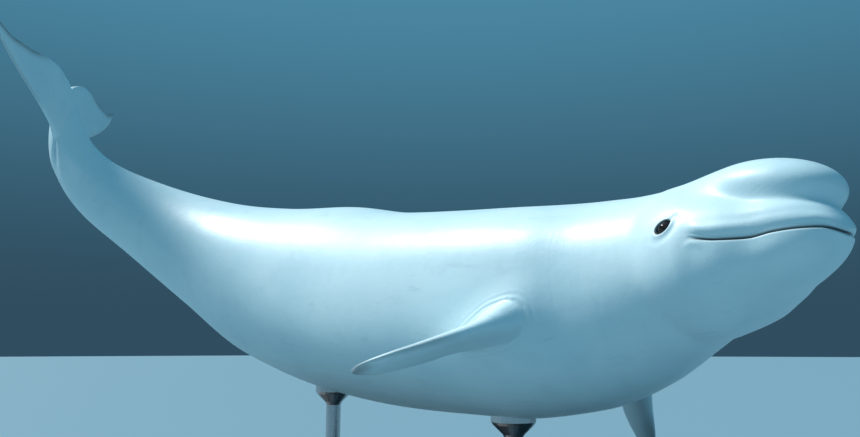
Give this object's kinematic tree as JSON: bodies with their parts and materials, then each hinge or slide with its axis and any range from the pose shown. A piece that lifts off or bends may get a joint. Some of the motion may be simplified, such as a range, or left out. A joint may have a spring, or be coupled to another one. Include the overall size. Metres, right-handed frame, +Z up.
{
  "type": "life-size beluga whale model",
  "caption": "Life-size still model of a beluga whale swimming in a shallow curve, head up and tail raised, held over a flat base by short posts.",
  "frame": {"origin": "centre of the underside of the stand's base plate", "axes": "+Z up, +X the way the head points along the animal's longest extent, +Y across"},
  "size_m": [3.4231, 1.3986, 1.8515],
  "materials": {
    "skin": "smooth white hide with a soft sheen and a faint cool cast",
    "eye": "wet dark brown, glossy",
    "stand_base": "dark satin paint",
    "stand_rod": "turned and brushed"
  },
  "bodies": {
    "root": {"head": "skin", "lower_jaw": "skin", "neck": "skin", "chest": "skin", "abdomen": "skin", "tail_base": "skin", "tail_stock": "skin", "flipper_left": "skin", "flipper_right": "skin", "fluke_left": "skin", "fluke_right": "skin", "eye_left": "eye", "eye_right": "eye", "stand_base": "stand_base", "stand_rod_front": "stand_rod", "stand_rod_rear": "stand_rod"}
  },
  "joints": []
}
